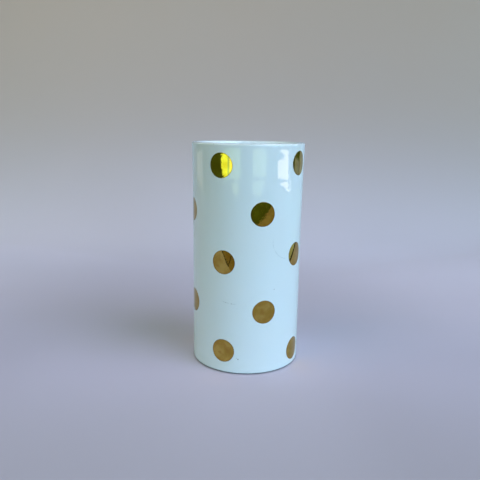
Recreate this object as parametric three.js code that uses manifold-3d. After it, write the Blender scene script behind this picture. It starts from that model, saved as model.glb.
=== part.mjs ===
// A porcelain cylinder vase, with round gold lustre dots fired on in staggered rows.
// Millimetres, +Z up. The origin is the centre of the foot, in the plane that the vase stands on.
// Angles about the axis are in degrees, from the front (-Y) towards +X.

import * as THREE from "three";
import { mergeVertices } from "three/addons/utils/BufferGeometryUtils.js";
import Module from "manifold-3d";

// The porcelain body
const HEIGHT = 203.2; // 8 inches
const BODY_RADIUS = 50;
const LIP_FLARE = 1; // the rim is this much wider than the wall below it, in radius
const FLARE_POWER = 6; // a high power keeps the flare near the rim
const WALL = 4;
const LIP_ROUNDING = 1.8;
const FLOOR = 5;
const INNER_CORNER = 8; // radius between the floor and the inner wall
const BASE_LIFT = 0.45; // the wall's lower edge stands this far above the table, outside the foot ring
const BASE_ROUNDING = 0.7; // rounding of the wall's lower edge
const FOOT_SETBACK = 2; // the foot ring stands this far inside the wall
const FOOT_WIDTH = 4; // the flat that touches the table
const FOOT_SLOPE = 1.5; // how far the foot ring's inner side leans in
const FOOT_RECESS = 2; // height of the underside above the table, inside the foot ring

// The gold dots
const DOT_RADIUS = 10.6;
const DOT_THICKNESS = 0.2;
const DOT_GAP = 0.05; // keeps the dot's solid clear of the wall's

// Each row from the top, as [angle, height] of its dots. They were laid by hand, a little off a regular
// stagger of four dots a quarter turn apart.
const DOT_ROWS = [
  [[-27, 185], [61.5, 186.5], [152, 185.5], [-117, 184]],
  [[16, 144.8], [-75, 143.6], [-165.5, 145], [105, 145.5]],
  [[-23, 102.2], [60, 106], [151, 104], [-113, 103]],
  [[18.8, 58.2], [-70, 59], [-160, 57.5], [109, 60]],
  [[-23.5, 21], [62, 15.5], [150, 18.5], [-114, 19.5]],
];

// Fineness of the meshes
const FACETS = 72;
const CORNER_STEPS = 4;
const WALL_STEPS = 8;
const DOT_EDGE_STEPS = 36;

const porcelain = new THREE.MeshStandardMaterial({ color: 0xe4eef2, roughness: 0.12, metalness: 0 });
const gold = new THREE.MeshStandardMaterial({ color: 0xc39a3c, roughness: 0.1, metalness: 1 });

const wasm = await Module();
wasm.setup();

// A geometry as a solid that can be cut.
function solidOf(geometry) {
  const bare = geometry.clone();
  bare.deleteAttribute("normal");
  bare.deleteAttribute("uv");
  const merged = mergeVertices(bare);
  return new wasm.Manifold(
    new wasm.Mesh({
      numProp: 3,
      vertProperties: merged.attributes.position.array,
      triVerts: new Uint32Array(merged.index.array),
    }),
  );
}

// A cut solid as a geometry again.
function geometryOf(solid) {
  const { vertProperties, triVerts } = solid.getMesh();
  const geometry = new THREE.BufferGeometry();
  geometry.setAttribute("position", new THREE.BufferAttribute(vertProperties, 3));
  geometry.setIndex(new THREE.BufferAttribute(triVerts, 1));
  geometry.computeVertexNormals();
  return geometry;
}

// Radius of the outer wall at height z.
function outerRadius(z) {
  return BODY_RADIUS + LIP_FLARE * (z / HEIGHT) ** FLARE_POWER;
}

// Heights of the wall's points from low to high, closer together towards the flared rim.
function wallHeights(low, high) {
  return Array.from({ length: WALL_STEPS + 1 }, (_, i) => low + (high - low) * Math.sqrt(i / WALL_STEPS));
}

// The wall's profile from a low height to the lip, moved outwards by an offset.
function wallProfile(offset, low = BASE_LIFT + BASE_ROUNDING) {
  return wallHeights(low, HEIGHT - LIP_ROUNDING).map((z) => new THREE.Vector2(outerRadius(z) + offset, z));
}

// A round corner of a profile, about a centre, from one angle to another in degrees.
function corner(r, z, rounding, from, to) {
  return Array.from({ length: CORNER_STEPS + 1 }, (_, i) => {
    const angle = THREE.MathUtils.degToRad(from + ((to - from) * i) / CORNER_STEPS);
    return new THREE.Vector2(r + rounding * Math.cos(angle), z + rounding * Math.sin(angle));
  });
}

// A profile of radius and height turned about the vase's axis.
function turned(profile) {
  return new THREE.LatheGeometry(profile, FACETS).rotateX(Math.PI / 2);
}

// The underside: a recess, the foot ring and the wall's rounded lower edge.
function underside() {
  const outer = BODY_RADIUS - FOOT_SETBACK;
  const inner = outer - FOOT_WIDTH;
  return [
    new THREE.Vector2(0, FOOT_RECESS),
    new THREE.Vector2(inner - FOOT_SLOPE, FOOT_RECESS),
    new THREE.Vector2(inner, 0),
    new THREE.Vector2(outer, 0),
    new THREE.Vector2(outer + BASE_LIFT / 2, BASE_LIFT),
    ...corner(BODY_RADIUS - BASE_ROUNDING, BASE_LIFT + BASE_ROUNDING, BASE_ROUNDING, -90, 0),
  ];
}

// The lip, rounded on its outer and its inner edge.
function lip() {
  const z = HEIGHT - LIP_ROUNDING;
  const outer = outerRadius(z);
  return [
    ...corner(outer - LIP_ROUNDING, z, LIP_ROUNDING, 0, 90),
    ...corner(outer - WALL + LIP_ROUNDING, z, LIP_ROUNDING, 90, 180),
  ];
}

// The inside, from below the lip down to the middle of the floor.
function inside() {
  const floor = FOOT_RECESS + FLOOR;
  const cornerTop = floor + INNER_CORNER;
  return [
    ...wallProfile(-WALL, cornerTop).reverse().slice(1, -1),
    ...corner(BODY_RADIUS - WALL - INNER_CORNER, cornerTop, INNER_CORNER, 0, -90),
    new THREE.Vector2(0, floor),
  ];
}

function vaseBody() {
  const profile = [...underside(), ...wallProfile(0).slice(1, -1), ...lip(), ...inside()];
  const body = new THREE.Mesh(turned(profile), porcelain);
  body.name = "vase_body";
  return body;
}

// The thin sleeve that every dot is cut from. It has the outer wall's own facets, moved outwards.
function filmSleeve() {
  const outer = wallProfile(DOT_GAP + DOT_THICKNESS);
  const inner = wallProfile(DOT_GAP).reverse();
  return solidOf(turned([...outer, ...inner, outer[0]]));
}

// A round bar through the wall at one dot's place, pointing at the vase's axis.
function dotCutter(angle, height) {
  const bar = new THREE.CylinderGeometry(DOT_RADIUS, DOT_RADIUS, BODY_RADIUS, DOT_EDGE_STEPS);
  bar.translate(0, -BODY_RADIUS, 0);
  bar.rotateZ(THREE.MathUtils.degToRad(angle));
  bar.translate(0, 0, height);
  return solidOf(bar);
}

function goldDots() {
  const dots = new THREE.Group();
  const sleeve = filmSleeve();
  DOT_ROWS.forEach((row, r) =>
    row.forEach(([angle, height], d) => {
      const film = sleeve.intersect(dotCutter(angle, height));
      const dot = new THREE.Mesh(geometryOf(film), gold.clone());
      dot.name = `gold_dot_r${r + 1}_${d + 1}`;
      dots.add(dot);
    }),
  );
  return dots;
}

const vase = new THREE.Group();
vase.add(vaseBody(), goldDots());

export default vase;
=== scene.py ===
"""The looks of a porcelain cylinder vase with gold lustre dots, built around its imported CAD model.

Metres, +Z up, with the origin at the centre of the foot. Angles about the vase's axis are in degrees from
the front (-Y) towards +X.
"""

import math

import bpy
from mathutils import Matrix, Vector, noise


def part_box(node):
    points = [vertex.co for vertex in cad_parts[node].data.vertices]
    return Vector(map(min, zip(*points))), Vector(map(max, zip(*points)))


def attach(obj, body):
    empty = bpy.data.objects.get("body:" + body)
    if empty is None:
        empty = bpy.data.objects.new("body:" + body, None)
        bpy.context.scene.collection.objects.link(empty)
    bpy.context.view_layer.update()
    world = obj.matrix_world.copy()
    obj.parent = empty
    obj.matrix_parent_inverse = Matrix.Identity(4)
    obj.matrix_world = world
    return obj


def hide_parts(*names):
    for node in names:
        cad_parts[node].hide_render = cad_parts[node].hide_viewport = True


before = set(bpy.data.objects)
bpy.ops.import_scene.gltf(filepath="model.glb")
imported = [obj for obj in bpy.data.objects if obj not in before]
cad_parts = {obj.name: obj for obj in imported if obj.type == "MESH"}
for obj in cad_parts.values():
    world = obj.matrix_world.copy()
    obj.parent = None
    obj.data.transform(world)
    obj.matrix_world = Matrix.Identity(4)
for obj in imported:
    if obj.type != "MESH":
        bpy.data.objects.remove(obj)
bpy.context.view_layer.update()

MM = 0.001

# The porcelain body, as in the CAD
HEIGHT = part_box("vase_body")[1].z
BODY_RADIUS = 50 * MM
LIP_FLARE = 1 * MM
FLARE_POWER = 6
WALL = 4 * MM
LIP_ROUNDING = 1.8 * MM
FLOOR = 5 * MM
INNER_CORNER = 8 * MM
BASE_LIFT = 0.45 * MM
BASE_ROUNDING = 0.7 * MM
FOOT_OUTER = BODY_RADIUS - 2 * MM
FOOT_INNER = FOOT_OUTER - 4 * MM
FOOT_SLOPE = 1.5 * MM
FOOT_RECESS = 2 * MM

# The gold dots' film
FILM_RISE = 0.06 * MM
FILM_ROOT = 0.12 * MM

# Fineness of the meshes
COLUMNS = 256
SPOKES = 96

# The camera, in front of the vase and a little above its rim
CAMERA_DISTANCE = 482.4 * MM
CAMERA_HEIGHT = 215.7 * MM
CAMERA_YAW = -0.754
CAMERA_PITCH = 12.1
CAMERA_ROLL = -0.789
CAMERA_LENS = 39.28


# Colours of the glaze, the gold, and what they mirror
GLAZE_COOL = (0.835, 0.848, 0.842)
GLAZE_WARM = (0.845, 0.845, 0.835)
GOLD_DEEP = (0.485, 0.285, 0.052)
GOLD_BRIGHT = (0.62, 0.395, 0.098)
SHEET_COLOUR = (0.64, 0.63, 0.67)
SHEET_RIGHT_COLOUR = (0.7, 0.88, 0.76)
# painted shadow: near-black strips along the paper sheets' edges, seen in reflections
EDGE_SHADOW_COLOUR = (0.02, 0.02, 0.01)
TABLE_COLOUR = (0.335, 0.25, 0.093)
ROOM_COLOUR = (0.085, 0.152, 0.031)

# The room: a paper floor that bends up into a wall, which is nearer behind the vase than elsewhere
WALL_BEHIND = 0.9
WALL_AROUND = 2.6
WALL_TOP = 2.6
FLOOR_BEND = 0.65
BACKDROP_COLUMNS = 240
BEND_STEPS = 24

# The backdrop's tones, by how far back plus how high a point of the paper is. They paint how light and shade
# fall along the paper, with painted shadow close behind the vase. The notes beside them hold straight behind
# and in front of the vase.
PAPER_TONES = (
    (-0.19, (0.60, 0.53, 0.58)),  # the floor at the front of the view
    (-0.06, (0.67, 0.59, 0.67)),  # close in front of the vase
    # painted shadow of the vase on the paper close behind it
    (0.12, (0.65, 0.57, 0.64)),  # close behind the vase
    (0.45, (0.80, 0.70, 0.76)),  # low in the bend, the brightest part
    (0.92, (0.64, 0.52, 0.48)),  # halfway up the bend
    (1.40, (0.63, 0.47, 0.37)),  # near the bend's top
)

# Bright panes that the glaze and gold mirror: name, corners by azimuth in degrees and height in
# millimetres, colour and radiance
WINDOW_DISTANCE = 2
WINDOWS = (
    ("far_left", [(-126, -110), (-103, -110), (-103, 60), (-126, 60)], (1.0, 1.0, 0.85), 0.9),
    ("left_upper", [(-50, -66), (-47, -58), (-52, -50), (-53, -40), (-50.5, -36), (-54.5, -30), (-55, -12),
                    (-52.5, -8), (-56, -2), (-55, 8), (-51, 12), (-53, 16), (-47, 20), (-46, 26), (-41, 26),
                    (-41, -66)], (0.62, 1.0, 0.20), 2.6),
    ("left_bar", [(-41, -66), (-37, -66), (-37, 20), (-41, 20)], (0.50, 1.0, 0.60), 1.9),
    ("left_middle", [(-37, -66), (-14.5, -66), (-15, 20), (-37, 26)], (0.68, 1.0, 0.36), 2.9),
    ("left_lower", [(-34, -77), (-17, -77), (-18, -112), (-25, -124), (-30, -100)], (0.74, 1.0, 0.40), 2.5),
    ("front_upper", [(9.5, -64), (36.5, -62), (36.5, 22), (9.5, 20)], (0.74, 1.0, 0.42), 2.5),
    ("front_lower", [(9.5, -76), (36, -74), (31, -100), (26, -124), (13, -124), (9.5, -95)],
     (0.74, 1.0, 0.42), 2.1),
    ("right_upper", [(62, -58), (90, -54), (86.5, 50), (80.5, 48), (66, 38), (66, 32), (77, 27), (75, 18),
                     (67, 8), (61, 3)], (1.0, 0.86, 0.76), 6.4),
    ("right_frame", [(92.5, -48), (94.5, -48), (92.5, 58), (90.8, 58)], (0.9, 1.0, 0.95), 1.8),
    ("right_lower", [(65.5, -77), (79, -66), (90, -60), (91, -100), (77, -86)], (1.0, 0.88, 0.80), 6.0),
    ("right_edge", [(93, -52), (97, -51), (98.5, -100), (94, -103)], (0.95, 1.0, 0.98), 4.0),
    ("far_right", [(108, -110), (126, -110), (126, 40), (108, 40)], (0.40, 0.62, 1.0), 0.75),
    ("far_right_edge", [(129, -110), (145, -110), (145, 40), (129, 40)], (0.6, 0.7, 1.0), 0.6),
    ("sky_left", [(-150, 600), (-10, 600), (-10, 6000), (-150, 6000)], (0.78, 1.0, 0.9), 2.6),
    ("sky_right", [(-10, 600), (150, 600), (150, 6000), (-10, 6000)], (0.78, 0.98, 1.0), 3.8),
)

# Soft lights: name, azimuth, elevation, width, height, colour and radiance
LIGHT_DISTANCE = 2.3
LIGHTS = (
    ("key_right", 45, 10, 2.3, 0.7, (0.39, 0.69, 1.0), 5.95),
    ("key_high", 60, 55, 1.3, 1.3, (0.59, 0.60, 1.0), 3.4),
    ("fill_left", -45, 10, 1.9, 0.7, (0.50, 0.82, 1.0), 2.05),
    ("fill_high", -60, 55, 1.3, 1.3, (1.0, 0.50, 0.48), 0.9),
    ("back_left", -138, 25, 1.8, 1.3, (0.49, 0.68, 1.0), 1.5),
    ("side_right", 90, 10, 1.1, 0.7, (0.72, 1.0, 0.60), 0.8),
)


def radians(degrees):
    return degrees * math.pi / 180


# Shape of the wall


def outer_radius(z):
    """Radius of the outer wall at height z, with its slight flare at the rim."""
    return BODY_RADIUS + LIP_FLARE * max(z / HEIGHT, 0) ** FLARE_POWER


def waviness(angle, z):
    """How far the fired wall stands off a true cylinder: a little oval, with long shallow waves."""
    oval = 0.08 * MM * math.cos(2 * angle - 0.8) * z / HEIGHT
    spot = Vector((math.sin(angle), -math.cos(angle), z / BODY_RADIUS))
    waves = 0.03 * MM * noise.noise(spot * 1.3) + 0.004 * MM * noise.noise(spot * 4.5)
    return oval + waves * min(1, z / (6 * MM))


def on_wall(angle, z, offset=0):
    """The point of the outer surface at an angle in radians and a height, moved out by an offset."""
    r = outer_radius(z) + waviness(angle, z) + offset
    return Vector((r * math.sin(angle), -r * math.cos(angle), z))


def arc(r, z, rounding, start, end, steps):
    """Profile points of a round corner, from one angle to another in degrees."""
    turns = [radians(start + (end - start) * i / steps) for i in range(steps + 1)]
    return [Vector((r + rounding * math.cos(t), z + rounding * math.sin(t))) for t in turns]


def run(start, end, steps):
    """Profile points of a straight run, its ends left out."""
    return [Vector(start).lerp(Vector(end), i / steps) for i in range(1, steps)]


def eased(corners, ease):
    """An open line through profile corners, with each inner corner eased into a small curve."""
    line = [Vector(corners[0])]
    for before, here, after in zip(corners, corners[1:], corners[2:]):
        start = Vector(here) + (Vector(before) - Vector(here)).normalized() * ease
        end = Vector(here) + (Vector(after) - Vector(here)).normalized() * ease
        line += run(line[-1], start, 4)
        curve = (0, 0.25, 0.5, 0.75, 1)
        line += [start.lerp(Vector(here), t).lerp(Vector(here).lerp(end, t), t) for t in curve]
    return line + run(line[-1], corners[-1], 4) + [Vector(corners[-1])]


def mesh_object(name, points, faces, materials, zones=None):
    mesh = bpy.data.meshes.new(name)
    mesh.from_pydata(points, [], faces)
    for material in materials:
        mesh.materials.append(material)
    if zones:
        mesh.polygons.foreach_set("material_index", zones)
    mesh.polygons.foreach_set("use_smooth", [True] * len(mesh.polygons))
    mesh.update()
    made = bpy.data.objects.new(name, mesh)
    bpy.context.scene.collection.objects.link(made)
    return made


def body_profile():
    """The vase's section from the axis under the foot, out and up the wall, over the lip and down inside."""
    under = [(0, FOOT_RECESS), (FOOT_INNER - FOOT_SLOPE, FOOT_RECESS), (FOOT_INNER, 0), (FOOT_OUTER, 0)]
    under += [(FOOT_OUTER + BASE_LIFT / 2, BASE_LIFT), (BODY_RADIUS - BASE_ROUNDING, BASE_LIFT)]
    low, top = BASE_LIFT + BASE_ROUNDING, HEIGHT - LIP_ROUNDING
    rise = [low + (top - low) * i / 100 for i in range(1, 100)]
    rim = outer_radius(top)
    floor = FOOT_RECESS + FLOOR
    corner_top = floor + INNER_CORNER
    fall = [top - (top - corner_top) * i / 60 for i in range(1, 60)]
    corner = arc(BODY_RADIUS - WALL - INNER_CORNER, corner_top, INNER_CORNER, 0, -90, 14)
    return [
        *run((0, FOOT_RECESS), (FOOT_INNER - FOOT_SLOPE - 1 * MM, FOOT_RECESS), 10),
        *eased([(FOOT_INNER - FOOT_SLOPE - 1 * MM, FOOT_RECESS), *under[1:]], 0.18 * MM)[:-1],
        *arc(BODY_RADIUS - BASE_ROUNDING, low, BASE_ROUNDING, -90, 0, 12),
        *[Vector((outer_radius(z), z)) for z in rise],
        *arc(rim - LIP_ROUNDING, top, LIP_ROUNDING, 0, 90, 14),
        *arc(rim - WALL + LIP_ROUNDING, top, LIP_ROUNDING, 90, 180, 14),
        *[Vector((outer_radius(z) - WALL, z)) for z in fall],
        *corner,
        *run(corner[-1], (0, floor), 12),
    ]


def is_bare(r, z):
    """True on the foot ring, which stood on the kiln shelf without glaze."""
    return r > FOOT_INNER - 0.3 * MM and z < 0.9 * BASE_LIFT


def vase_body(materials):
    profile = body_profile()
    points = [Vector((0, 0, FOOT_RECESS)), Vector((0, 0, FOOT_RECESS + FLOOR))]
    for r, z in profile:
        for c in range(COLUMNS):
            angle = 2 * math.pi * c / COLUMNS
            reach = r + waviness(angle, z) * min(1, r / BODY_RADIUS) ** 4
            points.append(Vector((reach * math.sin(angle), -reach * math.cos(angle), z)))
    faces, zones = [], []

    def spot(row, column):
        return 2 + row * COLUMNS + column % COLUMNS

    for c in range(COLUMNS):
        faces.append((0, spot(0, c + 1), spot(0, c)))
        zones.append(0)
    for row in range(len(profile) - 1):
        middle = (profile[row] + profile[row + 1]) / 2
        for c in range(COLUMNS):
            faces.append((spot(row, c), spot(row, c + 1), spot(row + 1, c + 1), spot(row + 1, c)))
            zones.append(int(is_bare(*middle)))
    last = len(profile) - 1
    for c in range(COLUMNS):
        faces.append((1, spot(last, c), spot(last, c + 1)))
        zones.append(0)
    return mesh_object("vase_porcelain", points, faces, materials, zones)


# Gold dots


def node_centre(node):
    """The angle in radians and the height of a CAD dot's middle, and its radius."""
    corners = [v.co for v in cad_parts[node].data.vertices]
    low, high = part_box(node)
    middle = sum(corners, Vector()) / len(corners)
    return math.atan2(middle.x, -middle.y), (low.z + high.z) / 2, (high.z - low.z) / 2


def gold_dot(node, material):
    """A round film that follows the wall, with a soft slightly uneven edge that sinks into the glaze."""
    angle, height, radius = node_centre(node)
    seed = Vector((angle * 7, height * 90, 0))
    rings = 14
    rows = [(i / rings, FILM_RISE) for i in range(1, rings)]
    rows += [(0.985, FILM_RISE), (0.994, FILM_RISE), (0.998, 0.8 * FILM_RISE), (1, 0.3 * FILM_RISE)]
    rows += [(1, -FILM_ROOT)] + [(i / 6, -FILM_ROOT) for i in range(5, 0, -1)]
    points = [on_wall(angle, height, FILM_RISE), on_wall(angle, height, -FILM_ROOT)]
    reaches = [0, 0]
    for share, offset in rows:
        for s in range(SPOKES):
            turn = 2 * math.pi * s / SPOKES
            way = Vector((math.cos(turn), math.sin(turn), 0))
            ragged = 1 + 0.005 * noise.noise(way * 1.5 + seed) + 0.002 * noise.noise(way * 9 + seed)
            reach = radius * share * ragged
            points.append(on_wall(angle + reach * way.x / BODY_RADIUS, height + reach * way.y, offset))
            reaches.append(share)
    faces = [(0, 2 + s, 2 + (s + 1) % SPOKES) for s in range(SPOKES)]
    for row in range(len(rows) - 1):
        a, b = 2 + row * SPOKES, 2 + (row + 1) * SPOKES
        for s in range(SPOKES):
            t = (s + 1) % SPOKES
            faces.append((a + s, b + s, b + t, a + t))
    last = 2 + (len(rows) - 1) * SPOKES
    faces += [(1, last + (s + 1) % SPOKES, last + s) for s in range(SPOKES)]
    film = mesh_object(node + "_film", points, faces, [material])
    film.data.attributes.new("reach", "FLOAT", "POINT").data.foreach_set("value", reaches)
    return film


# Materials


class Shade:
    """A new material and short ways to add nodes to it. Lengths in the helpers are in metres."""

    def __init__(self, name):
        self.material = bpy.data.materials.new(name)
        self.material.use_nodes = True
        self.tree = self.material.node_tree
        self.shader = self.tree.nodes["Principled BSDF"]
        self.place = self.add("TexCoord").outputs["Object"]

    def add(self, kind, inputs=None, **settings):
        made = self.tree.nodes.new("ShaderNode" + kind)
        for name, value in settings.items():
            setattr(made, name, value)
        for name, value in (inputs or {}).items():
            self.put(made.inputs[name], value)
        return made

    def put(self, socket, value):
        if isinstance(value, bpy.types.NodeSocket):
            self.tree.links.new(value, socket)
        else:
            socket.default_value = value

    def set(self, **inputs):
        """Sets the shader's own inputs, with _ for the spaces in their names."""
        for name, value in inputs.items():
            self.put(self.shader.inputs[name.replace("_", " ")], value)

    def math(self, operation, a, b=0.0):
        return self.add("Math", {0: a, 1: b}, operation=operation).outputs[0]

    def cloud(self, size, detail=2, place=None):
        """Soft noise about 0.5, with patches of a size."""
        inputs = {"Vector": place or self.place, "Scale": 1 / size, "Detail": detail}
        return self.add("TexNoise", inputs).outputs["Fac"]

    def step(self, value, low, high, at_low=0.0, at_high=1.0):
        """A smooth step from one value to another as the input goes from low to high."""
        inputs = {0: value, 1: low, 2: high, 3: at_low, 4: at_high}
        return self.add("MapRange", inputs, interpolation_type="SMOOTHSTEP").outputs[0]

    def level(self, value, low, high):
        """A noise about 0.5 stretched to run between two values."""
        return self.add("MapRange", {0: value, 1: 0.3, 2: 0.7, 3: low, 4: high}).outputs[0]

    def blend(self, share, a, b):
        mix = self.add("Mix", {0: share}, data_type="RGBA")
        self.put(mix.inputs[6], a)
        self.put(mix.inputs[7], b)
        return mix.outputs[2]

    def away(self, point):
        """Distance of the surface from a point."""
        inputs = {0: self.place, 1: tuple(point)}
        return self.add("VectorMath", inputs, operation="DISTANCE").outputs["Value"]

    def spot(self, point, radius):
        """1 in a small round spot."""
        return self.step(self.away(point), radius * 0.6, radius * 1.2, 1.0, 0.0)

    def specks(self, spacing, radius, share):
        """1 in tiny round specks, kept in only a share of the cells of a random pattern."""
        cells = self.add("TexVoronoi", {"Vector": self.place, "Scale": 1 / spacing})
        round_spot = self.step(cells.outputs["Distance"], 0.6 * radius / spacing, radius / spacing, 1.0, 0.0)
        hue = self.add("SeparateColor", {0: cells.outputs["Color"]}).outputs[0]
        return self.math("MULTIPLY", round_spot, self.math("LESS_THAN", hue, share))

    def scratch(self, centre, width, spot, reach):
        """1 on a thin curve through a spot, where the surface crosses a sphere, within reach of the spot."""
        off = self.math("ABSOLUTE", self.math("SUBTRACT", self.away(centre), (spot - centre).length))
        line = self.step(off, width * 0.4, width, 1.0, 0.0)
        near = self.step(self.away(spot), reach * 0.6, reach, 1.0, 0.0)
        broken = self.step(self.cloud(1.5 * MM), 0.35, 0.55)
        return self.math("MULTIPLY", line, self.math("MULTIPLY", near, broken))

    def dent(self, height, depth, under=None):
        """A bump of a depth, laid over another one."""
        inputs = {"Height": height, "Distance": depth, "Strength": 1.0}
        if under:
            inputs["Normal"] = under
        return self.add("Bump", inputs).outputs["Normal"]

    def axes(self):
        split = self.add("SeparateXYZ", {0: self.place})
        return split.outputs[0], split.outputs[1], split.outputs[2]


def rgb(r, g, b):
    return (r, g, b, 1.0)


def wall_spot(degrees, height):
    """A place on the outer wall by its angle in degrees and height in millimetres."""
    return on_wall(radians(degrees), height * MM)


def porcelain_glaze():
    """Clear glaze over white porcelain: nearly even, with kiln specks, pinholes and two faint scratches."""
    s = Shade("porcelain_glaze")
    z = s.axes()[2]
    colour = s.blend(s.level(s.cloud(38 * MM), 0.0, 1.0), rgb(*GLAZE_COOL), rgb(*GLAZE_WARM))
    colour = s.blend(s.level(s.cloud(1.3 * MM, 3), 0.0, 0.12), colour, rgb(0.76, 0.78, 0.77))
    drift = s.math("MULTIPLY", s.cloud(9 * MM), 1.2 * MM)
    thin = s.step(s.math("ADD", z, drift), HEIGHT - 0.9 * MM, HEIGHT + 0.7 * MM, 0.0, 0.5)
    colour = s.blend(thin, colour, rgb(0.80, 0.77, 0.70))
    pool = s.step(s.math("ADD", z, drift), 1.2 * MM, 4.2 * MM, 0.4, 0.0)
    colour = s.blend(pool, colour, rgb(0.66, 0.72, 0.74))
    # Painted shade: the glaze is painted nearly black on the lowest two millimetres of the wall and below,
    # standing in for the shadow in the crevice at the foot
    wander = s.math("MULTIPLY", s.cloud(4 * MM, 3), 0.5 * MM)
    painted_foot_shade = s.step(s.math("ADD", z, wander), 1.2 * MM, 1.85 * MM, 0.92, 0.0)
    colour = s.blend(painted_foot_shade, colour, rgb(0.10, 0.10, 0.095))
    iron = s.specks(9 * MM, 0.16 * MM, 0.16)
    behind = radians(120.5)
    inner_rim = Vector((math.sin(behind), -math.cos(behind), 0)) * (BODY_RADIUS - 3.1 * MM)
    for point, radius in (
        (inner_rim + Vector((0, 0, 200.3 * MM)), 0.55 * MM),
        (inner_rim + Vector((-1.6 * MM, -0.6 * MM, 199.4 * MM)), 0.35 * MM),
        (wall_spot(-7.0, 14.4), 0.5 * MM),
        (wall_spot(-8.6, 15.4), 0.25 * MM),
        (wall_spot(29.5, 78.1), 0.35 * MM),
        (wall_spot(-14.5, 65.6), 0.3 * MM),
        (wall_spot(-20.5, 66.4), 0.25 * MM),
    ):
        iron = s.math("MAXIMUM", iron, s.spot(point, radius))
    colour = s.blend(iron, colour, rgb(0.21, 0.15, 0.09))
    pits = s.specks(6 * MM, 0.13 * MM, 0.12)
    pits = s.math("MAXIMUM", pits, s.spot(wall_spot(-34.5, 202.2), 0.42 * MM))
    colour = s.blend(pits, colour, rgb(0.33, 0.30, 0.26))
    marks = s.scratch(wall_spot(-12, 105), 0.3 * MM, wall_spot(-17.5, 65.9), 8 * MM)
    curve = s.scratch(wall_spot(46, 121), 0.5 * MM, wall_spot(31, 110.5), 15 * MM)
    marks = s.math("MAXIMUM", marks, s.math("MULTIPLY", curve, 0.5))
    colour = s.blend(s.math("MULTIPLY", marks, 0.5), colour, rgb(0.38, 0.40, 0.40))
    handled = s.step(s.cloud(24 * MM, 4), 0.45, 0.75, 0.0, 0.02)
    rough = s.math("ADD", s.level(s.cloud(7 * MM, 3), 0.010, 0.022), handled)
    rough = s.math("MAXIMUM", rough, s.math("MULTIPLY", s.math("MAXIMUM", marks, pits), 0.5))
    skin = s.dent(s.cloud(16 * MM, 1), 0.012 * MM)
    skin = s.dent(s.cloud(3.2 * MM, 2), 0.0022 * MM, skin)
    sunk = s.math("MAXIMUM", pits, s.math("MULTIPLY", marks, 0.2))
    skin = s.dent(s.math("SUBTRACT", s.math("MULTIPLY", iron, 0.3), sunk), 0.05 * MM, skin)
    s.set(Base_Color=colour, Roughness=rough, Normal=skin, IOR=1.5)
    s.set(Subsurface_Weight=0.12, Subsurface_Radius=(1.0, 0.85, 0.7), Subsurface_Scale=1.2 * MM)
    return s.material


def bare_porcelain():
    """Unglazed body on the foot ring: matt, rubbed grey where it stands, and painted dark on its outer side
    as shade in the crevice under the wall's edge.
    """
    s = Shade("bare_porcelain")
    x, y, z = s.axes()
    colour = s.blend(s.level(s.cloud(2.5 * MM, 4), 0.0, 1.0), rgb(0.74, 0.71, 0.65), rgb(0.66, 0.63, 0.57))
    touching = s.step(z, 0.02 * MM, 0.2 * MM, 1.0, 0.0)
    rubbed = s.math("MULTIPLY", touching, s.step(s.cloud(5 * MM, 5), 0.42, 0.68))
    colour = s.blend(s.math("MULTIPLY", rubbed, 0.6), colour, rgb(0.33, 0.32, 0.30))
    colour = s.blend(s.specks(1.6 * MM, 0.09 * MM, 0.3), colour, rgb(0.25, 0.19, 0.12))
    # Painted shade: the foot ring's outer side is painted dark for the shadow in the crevice under the
    # wall's lifted edge
    outside = s.math("SQRT", s.math("ADD", s.math("MULTIPLY", x, x), s.math("MULTIPLY", y, y)))
    painted_crevice_shade = s.step(outside, BODY_RADIUS - 2.1 * MM, BODY_RADIUS - 1.7 * MM, 0.0, 0.8)
    colour = s.blend(painted_crevice_shade, colour, rgb(0.16, 0.15, 0.14))
    grain = s.dent(s.cloud(0.25 * MM, 4), 0.03 * MM)
    s.set(Base_Color=colour, Roughness=s.level(s.cloud(1 * MM), 0.72, 0.86), Normal=grain, IOR=1.5)
    return s.material


def gold_lustre():
    """Thin bright gold: a cloudy film with a darker thin edge, fine rub marks and a few pinholes."""
    s = Shade("gold_lustre")
    reach = s.add("Attribute", attribute_name="reach").outputs["Fac"]
    colour = s.blend(s.step(s.cloud(8 * MM, 3), 0.33, 0.68), rgb(*GOLD_DEEP), rgb(*GOLD_BRIGHT))
    tea = s.step(s.cloud(5 * MM, 3), 0.5, 0.7, 0.0, 0.6)
    tea = s.math("MAXIMUM", tea, s.step(reach, 0.86, 0.97, 0.0, 0.45))
    colour = s.blend(tea, colour, rgb(0.46, 0.23, 0.05))
    colour = s.blend(s.level(s.cloud(0.9 * MM, 3), 0.0, 0.12), colour, rgb(0.50, 0.31, 0.07))
    uneven = s.math("MULTIPLY", s.cloud(1.1 * MM, 3), 0.03)
    rim = s.step(s.math("ADD", reach, uneven), 0.965, 1.008)
    colour = s.blend(s.math("MULTIPLY", rim, 0.75), colour, rgb(0.16, 0.115, 0.05))
    stretch = {"Vector": s.place, "Rotation": (0.5, 0.9, 0.2), "Scale": (1, 14, 14)}
    rubs = s.step(s.cloud(7 * MM, 4, s.add("Mapping", stretch).outputs[0]), 0.56, 0.68)
    holes = s.specks(1.3 * MM, 0.05 * MM, 0.1)
    colour = s.blend(holes, colour, rgb(0.72, 0.70, 0.62))
    rough = s.math("ADD", s.level(s.cloud(2.2 * MM, 3), 0.015, 0.035), s.math("MULTIPLY", rubs, 0.05))
    rough = s.math("ADD", rough, s.math("MULTIPLY", rim, 0.12))
    skin = s.dent(s.cloud(3.5 * MM, 2), 0.010 * MM)
    skin = s.dent(s.cloud(0.9 * MM, 2), 0.0015 * MM, skin)
    skin = s.dent(rubs, 0.0006 * MM, skin)
    s.set(Base_Color=colour, Metallic=s.math("SUBTRACT", 1.0, holes), Roughness=rough, Normal=skin)
    return s.material


# Stage


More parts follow.
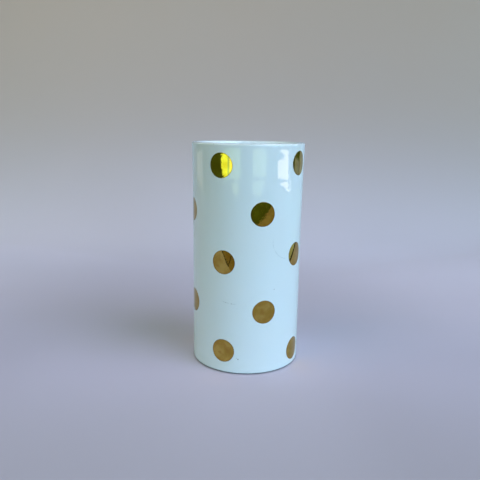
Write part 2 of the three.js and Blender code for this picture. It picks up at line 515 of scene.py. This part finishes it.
def camera():
    yaw, pitch, roll = radians(CAMERA_YAW), radians(CAMERA_PITCH), radians(CAMERA_ROLL)
    ahead = Vector((math.sin(yaw) * math.cos(pitch), math.cos(yaw) * math.cos(pitch), -math.sin(pitch)))
    level = Vector((math.cos(yaw), -math.sin(yaw), 0))
    upright = level.cross(ahead)
    right = math.cos(roll) * level - math.sin(roll) * upright
    up = math.sin(roll) * level + math.cos(roll) * upright
    data = bpy.data.cameras.new("camera")
    data.sensor_width = 36
    data.lens = CAMERA_LENS
    data.clip_start, data.clip_end = 0.01, 50
    made = bpy.data.objects.new("camera", data)
    bpy.context.scene.collection.objects.link(made)
    turn = Matrix((right, up, -ahead)).transposed()
    made.matrix_world = Matrix.Translation((0, -CAMERA_DISTANCE, CAMERA_HEIGHT)) @ turn.to_4x4()
    bpy.context.scene.camera = made


def show_to(made, seen):
    """Shows a stage object to the camera only, or to reflections and bounced light only."""
    made.visible_camera = seen == "camera"
    made.visible_diffuse = made.visible_glossy = seen == "light"
    made.visible_transmission = made.visible_volume_scatter = made.visible_shadow = False


def wall_distance(turn):
    """How far the room's rounded wall is from the vase, in a direction by its angle from +X."""
    along = WALL_BEHIND if math.sin(turn) > 0 else WALL_AROUND
    return (abs(math.cos(turn) / WALL_AROUND) ** 4 + abs(math.sin(turn) / along) ** 4) ** -0.25


def backdrop_profile(far):
    """The backdrop's section from the vase out to a wall at a distance: floor, bend and wall."""
    flat_reach = far - FLOOR_BEND
    line = [(share * flat_reach, 0) for share in (0, 0.05, 0.12, 0.25, 0.5, 0.75, 1)]
    for i in range(1, BEND_STEPS + 1):
        t = math.pi / 2 * i / BEND_STEPS
        line.append((flat_reach + FLOOR_BEND * math.sin(t), FLOOR_BEND - FLOOR_BEND * math.cos(t)))
    return line + [(far, WALL_TOP)]


def paper_tone(s):
    """The backdrop's tone along the paper, and how much lighter or darker it is to each side, as painted
    light and shade.
    """
    x, y, z = s.axes()
    start, length = PAPER_TONES[0][0], PAPER_TONES[-1][0] - PAPER_TONES[0][0]
    along = s.math("DIVIDE", s.math("SUBTRACT", s.math("ADD", y, z), start), length)
    ramp = s.add("ValToRGB", {0: along})
    ramp.color_ramp.interpolation = "CARDINAL"
    for _ in PAPER_TONES[2:]:
        ramp.color_ramp.elements.new(0.5)
    for element, (place, tone) in zip(ramp.color_ramp.elements, PAPER_TONES):
        element.position = (place - start) / length
        element.color = rgb(*tone)
    # Painted light and shade: darker right beside and behind the vase as its painted shadow, a little
    # lighter just in front of it as painted bounce light off the vase, and lighter on the left than the
    # right up the bend
    aside = s.math("ABSOLUTE", s.math("ADD", x, 0.06))
    in_front = s.step(along, 0.1, 0.16, 1.0, 0.0)
    beside = s.math("MULTIPLY", s.step(along, 0.11, 0.2), s.step(along, 0.24, 0.42, 1.0, 0.0))
    behind = s.step(along, 0.28, 0.44)
    side = s.math("MULTIPLY", s.step(x, -0.6, 0.6, 0.14, -0.12), behind)
    side = s.math("ADD", side, s.math("MULTIPLY", s.step(aside, 0.1, 0.34, -0.045, 0.12), beside))
    side = s.math("ADD", side, s.math("MULTIPLY", s.step(aside, 0.1, 0.19, 0.02, -0.055), in_front))
    side = s.math("ADD", side, 1.0)
    return s.add("VectorMath", {0: ramp.outputs[0], "Scale": side}, operation="SCALE").outputs[0]


def backdrop_paper():
    """Plain paper, with painted light and shade in its tones, a fine grain, a few specks of dust and soft
    uneven patches.
    """
    s = Shade("backdrop_paper")
    colour = s.blend(s.level(s.cloud(0.8 * MM, 4), 0.0, 0.05), paper_tone(s), rgb(0.42, 0.40, 0.42))
    colour = s.blend(s.level(s.cloud(0.16, 3), 0.0, 0.05), colour, rgb(0.5, 0.5, 0.5))
    dust = s.math("MULTIPLY", s.specks(45 * MM, 0.45 * MM, 0.5), 0.35)
    colour = s.blend(dust, colour, rgb(0.2, 0.2, 0.22))
    s.set(Base_Color=colour, Roughness=0.9, Specular_IOR_Level=0.1)
    s.set(Normal=s.dent(s.cloud(0.6 * MM, 4), 0.02 * MM))
    return s.material


def backdrop():
    """A seamless paper floor that bends up into a wall all round."""
    points, faces = [], []
    for c in range(BACKDROP_COLUMNS):
        turn = 2 * math.pi * c / BACKDROP_COLUMNS
        line = backdrop_profile(wall_distance(turn))
        points += [Vector((r * math.cos(turn), r * math.sin(turn), z)) for r, z in line]
    rows = len(points) // BACKDROP_COLUMNS
    for c in range(BACKDROP_COLUMNS):
        a, b = c * rows, (c + 1) % BACKDROP_COLUMNS * rows
        faces += [(a + i, a + i + 1, b + i + 1, b + i) for i in range(1, rows - 1)]
        faces.append((a, a + 1, b + 1))
    show_to(mesh_object("backdrop", points, faces, [backdrop_paper()]), "camera")


def flat(name, corners, z, material):
    """A flat stage surface with corners given as (x, y)."""
    made = mesh_object(name, [(x, y, z) for x, y in corners], [tuple(range(len(corners)))], [material])
    show_to(made, "light")


def plain(name, colour):
    s = Shade(name)
    s.set(Base_Color=rgb(*colour), Roughness=0.9, Specular_IOR_Level=0.1)
    return s.material


def table():
    """What the vase mirrors and is lit by from below: sheets of paper on a table, in a dim room, with
    near-black strips along the sheets' edges as painted shadow.
    """
    paper = plain("sheet_paper", SHEET_COLOUR)
    right_paper = plain("sheet_right_paper", SHEET_RIGHT_COLOUR)
    edge_shadow = plain("sheet_edge_shadow", EDGE_SHADOW_COLOUR)
    wood = plain("table_wood", TABLE_COLOUR)
    for name, millimetres_down, material, corners in (
        ("sheet", 0.3, paper,
         [(-1.2, -0.31), (-0.25, -0.335), (0.4, -0.36), (0.405, 0.05), (0.5, 0.4), (0.6, 0.9), (-1.2, 0.9)]),
        # near-black strips painted as the shadow along the sheets' edges
        ("edge_shadow_front", 1, edge_shadow, [(-0.7, -0.335), (-0.24, -0.35), (-0.24, -0.33), (-0.7, -0.315)]),
        ("edge_shadow_seam", 1, edge_shadow, [(-0.262, -0.6), (-0.25, -0.6), (-0.24, -0.33), (-0.252, -0.33)]),
        ("edge_shadow_right", 1, edge_shadow, [(0.4, 0.05), (0.435, 0.05), (0.53, 0.4), (0.49, 0.4)]),
        ("sheet_right", 1.5, right_paper, [(0.42, 0.05), (1.2, -0.2), (1.2, 0.9), (0.62, 0.9), (0.51, 0.4)]),
        ("table_top", 2, wood, [(-1, -0.68), (0.3, -0.735), (1.2, -0.6), (1.25, 0.9), (-1.4, 0.9)]),
    ):
        flat(name, corners, -millimetres_down * MM, material)
    back = [(-1.2, 0.9, 0), (1.2, 0.9, 0), (1.2, 0.95, 1.6), (-1.2, 0.95, 1.6)]
    show_to(mesh_object("sheet_back", back, [(0, 1, 2, 3)], [paper]), "light")


def window(name, pane, colour, radiance):
    """A bright pane that only reflections see. Its longer sides are split to follow a round wall."""
    s = Shade(name)
    s.tree.nodes.remove(s.shader)
    glow = s.add("Emission", {"Color": rgb(*colour), "Strength": radiance})
    s.tree.links.new(glow.outputs[0], s.tree.nodes["Material Output"].inputs["Surface"])
    corners = []
    for (a0, z0), (a1, z1) in zip(pane, pane[1:] + pane[:1]):
        steps = max(1, round(abs(a1 - a0) / 3))
        corners += [(a0 + (a1 - a0) * i / steps, z0 + (z1 - z0) * i / steps) for i in range(steps)]
    points = [
        (WINDOW_DISTANCE * math.sin(radians(a)), -WINDOW_DISTANCE * math.cos(radians(a)), z * MM)
        for a, z in corners
    ]
    made = mesh_object(name, points, [tuple(range(len(points)))], [s.material])
    made.visible_camera = made.visible_diffuse = made.visible_shadow = False


def area_light(name, azimuth, elevation, width, height, colour, radiance):
    """A flat soft light facing the vase, from an azimuth and an elevation in degrees."""
    data = bpy.data.lights.new(name, "AREA")
    data.shape = "RECTANGLE"
    data.size, data.size_y = width, height
    data.color = colour
    data.energy = 4 * width * height * radiance
    made = bpy.data.objects.new(name, data)
    bpy.context.scene.collection.objects.link(made)
    a, e = radians(azimuth), radians(elevation)
    way = Vector((math.sin(a) * math.cos(e), -math.cos(a) * math.cos(e), math.sin(e)))
    made.location = way * LIGHT_DISTANCE + Vector((0, 0, HEIGHT / 2))
    made.rotation_mode = "QUATERNION"
    made.rotation_quaternion = way.to_track_quat("Z", "Y")
    made.visible_camera = False


def inner_light():
    """Stands in for the many bounces of daylight that brighten the white inside."""
    data = bpy.data.lights.new("inner_light", "POINT")
    data.shadow_soft_size = 30 * MM
    data.color = (0.62, 0.85, 1.0)
    data.energy = 0.085
    made = bpy.data.objects.new("inner_light", data)
    made.location = (33 * MM, 0, 0.62 * HEIGHT)
    made.visible_camera = made.visible_glossy = False
    bpy.context.scene.collection.objects.link(made)


def surroundings():
    world = bpy.data.worlds.new("room")
    world.use_nodes = True
    world.node_tree.nodes["Background"].inputs["Color"].default_value = rgb(*ROOM_COLOUR)
    bpy.context.scene.world = world


def dress():
    """Puts the fine porcelain body and gold films in the place of the CAD solids."""
    body = vase_body([porcelain_glaze(), bare_porcelain()])
    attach(body, "root")
    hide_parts("vase_body")
    gold = gold_lustre()
    for node in sorted(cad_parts):
        if node.startswith("gold_dot"):
            film = gold_dot(node, gold)
            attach(film, "root")
            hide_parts(node)


camera()
backdrop()
table()
for window_pane in WINDOWS:
    window(*window_pane)
for soft_light in LIGHTS:
    area_light(*soft_light)
inner_light()
surroundings()
dress()
bpy.context.scene.view_settings.view_transform = "Standard"
